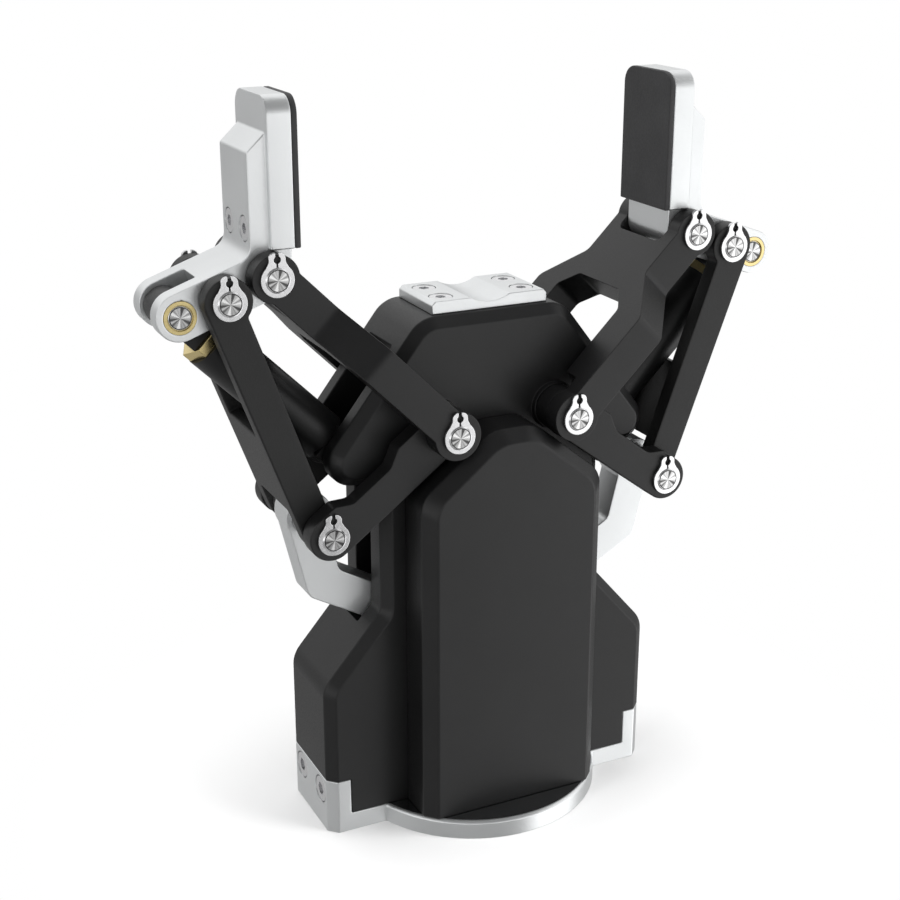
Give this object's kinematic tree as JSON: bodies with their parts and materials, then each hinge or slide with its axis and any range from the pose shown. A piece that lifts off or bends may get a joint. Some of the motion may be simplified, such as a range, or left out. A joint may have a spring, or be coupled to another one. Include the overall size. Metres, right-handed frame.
{
  "type": "electric two finger gripper",
  "caption": "Electric parallel gripper for a robot arm: a screw drive in a slim housing swings linked fingers whose flat rubber-padded tips stay parallel as they close.",
  "frame": {"origin": "centre of the mounting face, where the gripper meets the robot's tool flange", "axes": "+Z from the mounting face to the fingertips, X the way the fingers open and close, -Y the front with the plain cover, +Y the back with the socket"},
  "size_m": [0.162, 0.066, 0.1836],
  "materials": {
    "silver": "satin clear anodised",
    "black": "satin black anodised",
    "black_cast": "fine black coat on a casting",
    "steel": "bright turned steel",
    "brass": "turned brass",
    "pad_rubber": "matt black rubber",
    "board": "green solder mask",
    "socket_plastic": "black moulded",
    "motor_black": "black coat"
  },
  "bodies": {
    "body": {"base_plate": "silver", "ear_screws": "steel", "housing": "black", "front_cover": "black", "back_cover": "black", "back_cover_screws": "steel", "top_cap": "silver", "top_cap_screws": "steel", "motor": "motor_black", "lower_bearing": "steel", "top_bearing": "steel", "guide_rods": "steel", "control_board": "board", "board_standoffs": "steel", "rear_socket": "socket_plastic", "shoulder_pins": "steel", "shoulder_circlips": "steel", "anchor_pins": "steel"},
    "screw": {"lead_screw": "steel", "coupling": "steel"},
    "nut": {"drive_nut": "brass", "nut_pins": "steel"},
    "drive_right": {"drive_link_right": "silver"},
    "rocker_right": {"rocker_plates_right": "black", "elbow_pin_right": "steel", "elbow_circlips_right": "steel", "elbow_spacers_right": "steel"},
    "inner_right": {"inner_link_right": "black"},
    "fingertip_right": {"fingertip_right": "silver", "finger_pad_right": "pad_rubber", "fingertip_screws_right": "steel", "knuckle_pins_right": "steel", "knuckle_circlips_right": "steel", "tail_pin_right": "steel", "tail_bushes_right": "brass"},
    "outer_right": {"outer_link_right": "black_cast"},
    "strut_right": {"strut_barrel_right": "black", "strut_rod_end_right": "black", "strut_lock_nut_right": "brass"},
    "drive_left": {"drive_link_left": "silver"},
    "rocker_left": {"rocker_plates_left": "black", "elbow_pin_left": "steel", "elbow_circlips_left": "steel", "elbow_spacers_left": "steel"},
    "inner_left": {"inner_link_left": "black"},
    "fingertip_left": {"fingertip_left": "silver", "finger_pad_left": "pad_rubber", "fingertip_screws_left": "steel", "knuckle_pins_left": "steel", "knuckle_circlips_left": "steel", "tail_pin_left": "steel", "tail_bushes_left": "brass"},
    "outer_left": {"outer_link_left": "black_cast"},
    "strut_left": {"strut_barrel_left": "black", "strut_rod_end_left": "black", "strut_lock_nut_left": "brass"}
  },
  "joints": [
    {"name": "screw_spin", "type": "hinge", "parent": "body", "child": "screw", "pos_m": [0, 0, 0.08], "axis": [0, 0, 1], "range_deg": [-1420, 0]},
    {"name": "nut_slide", "type": "slide", "parent": "body", "child": "nut", "axis": [0, 0, 1], "range_m": [0, 0.03145]},
    {"name": "inner_link_swing_right", "type": "hinge", "parent": "body", "child": "inner_right", "pos_m": [0.0158, 0, 0.1057], "axis": [0, -1, 0], "range_deg": [0, 53.8]},
    {"name": "fingertip_pivot_right", "type": "hinge", "parent": "inner_right", "child": "fingertip_right", "pos_m": [0.0548, 0, 0.1446], "axis": [0, -1, 0], "range_deg": [-53.85, 0]},
    {"name": "outer_link_pivot_right", "type": "hinge", "parent": "fingertip_right", "child": "outer_right", "pos_m": [0.0658, 0, 0.1405], "axis": [0, -1, 0], "range_deg": [0, 53.7]},
    {"name": "strut_pivot_right", "type": "hinge", "parent": "fingertip_right", "child": "strut_right", "pos_m": [0.0755, 0, 0.1372], "axis": [0, -1, 0], "range_deg": [0, 53.85]},
    {"name": "rocker_swing_right", "type": "hinge", "parent": "body", "child": "rocker_right", "pos_m": [0.0158, 0, 0.1057], "axis": [0, -1, 0], "range_deg": [0, 36.59]},
    {"name": "drive_link_pivot_right", "type": "hinge", "parent": "nut", "child": "drive_right", "pos_m": [0.014, 0, 0.0495], "axis": [0, -1, 0], "range_deg": [-16.25, 0]},
    {"name": "inner_link_swing_left", "type": "hinge", "parent": "body", "child": "inner_left", "pos_m": [-0.0158, 0, 0.1057], "axis": [0, 1, 0], "range_deg": [0, 53.85]},
    {"name": "fingertip_pivot_left", "type": "hinge", "parent": "inner_left", "child": "fingertip_left", "pos_m": [-0.0548, 0, 0.1446], "axis": [0, 1, 0], "range_deg": [-53.85, 0]},
    {"name": "outer_link_pivot_left", "type": "hinge", "parent": "fingertip_left", "child": "outer_left", "pos_m": [-0.0658, 0, 0.1405], "axis": [0, 1, 0], "range_deg": [0, 53.7]},
    {"name": "strut_pivot_left", "type": "hinge", "parent": "fingertip_left", "child": "strut_left", "pos_m": [-0.0755, 0, 0.1372], "axis": [0, 1, 0], "range_deg": [0, 53.85]},
    {"name": "rocker_swing_left", "type": "hinge", "parent": "body", "child": "rocker_left", "pos_m": [-0.0158, 0, 0.1057], "axis": [0, 1, 0], "range_deg": [0, 36.59]},
    {"name": "drive_link_pivot_left", "type": "hinge", "parent": "nut", "child": "drive_left", "pos_m": [-0.014, 0, 0.0495], "axis": [0, 1, 0], "range_deg": [-16.25, 0]}
  ],
  "couplings": [
    {"joint": "nut_slide", "follows": "inner_link_swing_right", "m_per_rad": 0.033446},
    {"joint": "screw_spin", "follows": "inner_link_swing_right", "ratio": -26.269},
    {"joint": "inner_link_swing_left", "follows": "inner_link_swing_right", "ratio": 1},
    {"joint": "fingertip_pivot_right", "follows": "inner_link_swing_right", "ratio": -1},
    {"joint": "outer_link_pivot_right", "follows": "inner_link_swing_right", "ratio": 0.9972},
    {"joint": "strut_pivot_right", "follows": "inner_link_swing_right", "ratio": 1},
    {"joint": "rocker_swing_right", "follows": "inner_link_swing_right", "ratio": 0.67915},
    {"joint": "drive_link_pivot_right", "follows": "inner_link_swing_right", "ratio": -0.30118},
    {"joint": "fingertip_pivot_left", "follows": "inner_link_swing_right", "ratio": -1},
    {"joint": "outer_link_pivot_left", "follows": "inner_link_swing_right", "ratio": 0.9972},
    {"joint": "strut_pivot_left", "follows": "inner_link_swing_right", "ratio": 1},
    {"joint": "rocker_swing_left", "follows": "inner_link_swing_right", "ratio": 0.67915},
    {"joint": "drive_link_pivot_left", "follows": "inner_link_swing_right", "ratio": -0.30118}
  ]
}
